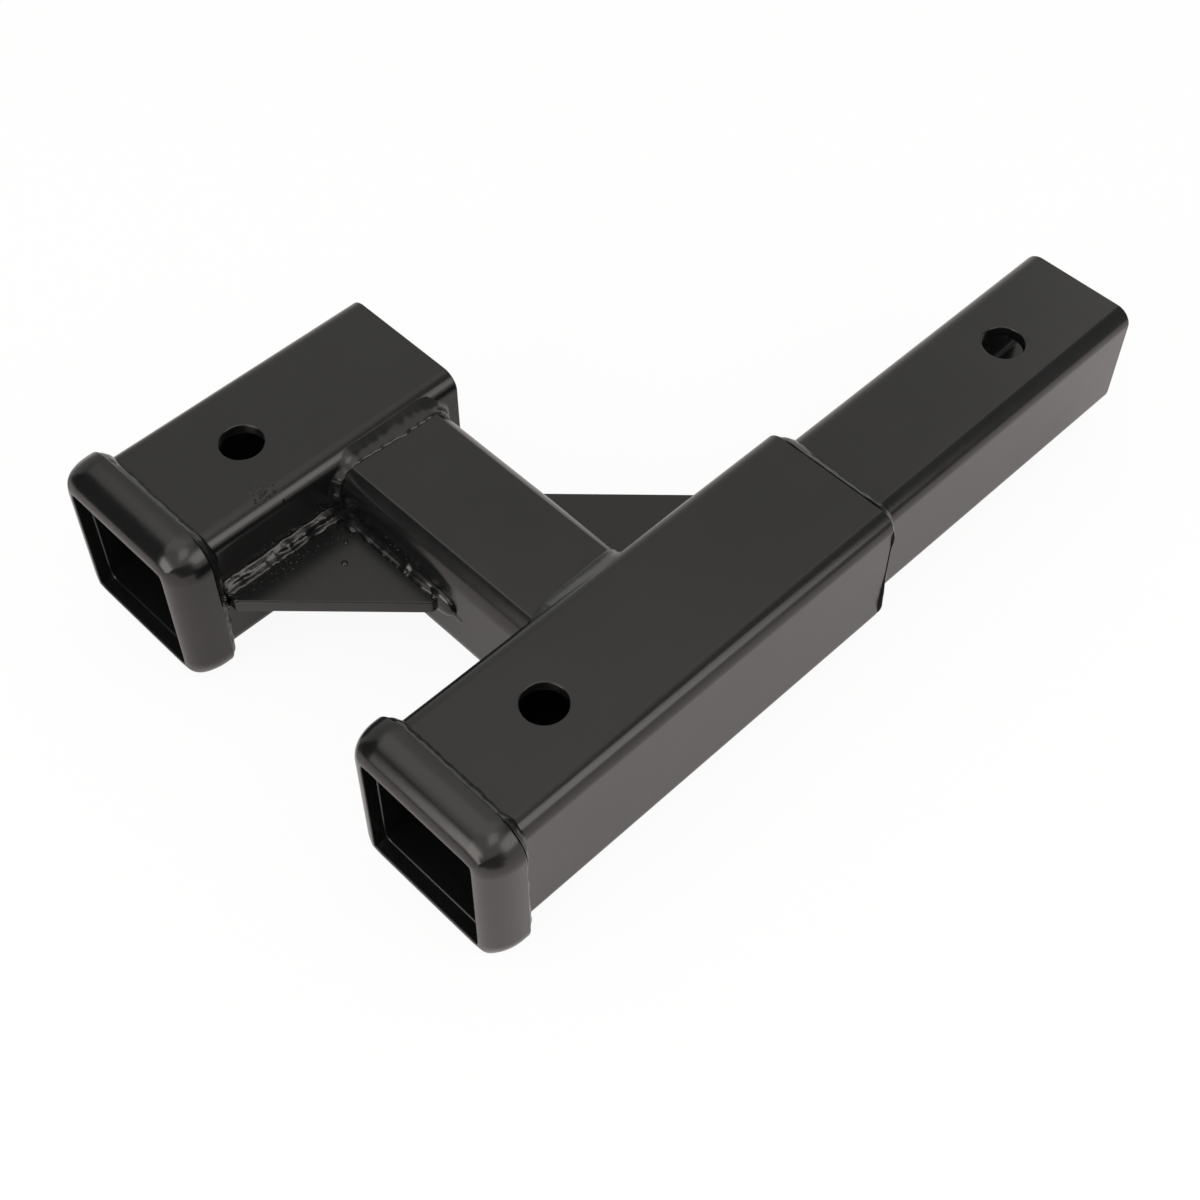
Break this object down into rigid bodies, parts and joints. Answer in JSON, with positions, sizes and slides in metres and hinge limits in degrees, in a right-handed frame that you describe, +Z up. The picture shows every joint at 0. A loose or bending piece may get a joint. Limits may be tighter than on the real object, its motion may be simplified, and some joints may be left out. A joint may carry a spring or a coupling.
{
  "type": "hitch receiver extender",
  "caption": "Welded square-tube hitch extender with a shank behind its main receiver and a side receiver carried on a gusseted cross tube.",
  "frame": {"origin": "centre of the main receiver's pin hole, on the axis of its square tube", "axes": "+Y along the tubes from the receivers' mouths to the end of the shank, +X from the side receiver towards the main receiver, +Z up along the pin holes"},
  "size_m": [0.2286, 0.3446, 0.071],
  "materials": {
    "tubes": "satin black powder coat",
    "collars": "satin black powder coat",
    "plates": "satin black powder coat",
    "welds": "glossy black powder coat over weld beads"
  },
  "bodies": {
    "root": {"main_receiver_tube": "tubes", "side_receiver_tube": "tubes", "shank_tube": "tubes", "cross_tube": "tubes", "main_collar": "collars", "side_collar": "collars", "near_gusset": "plates", "far_gusset": "plates", "main_collar_weld": "welds", "side_collar_weld": "welds", "shank_weld": "welds", "cross_side_weld": "welds", "cross_main_weld": "welds", "near_gusset_weld": "welds", "far_gusset_weld": "welds"}
  },
  "joints": []
}
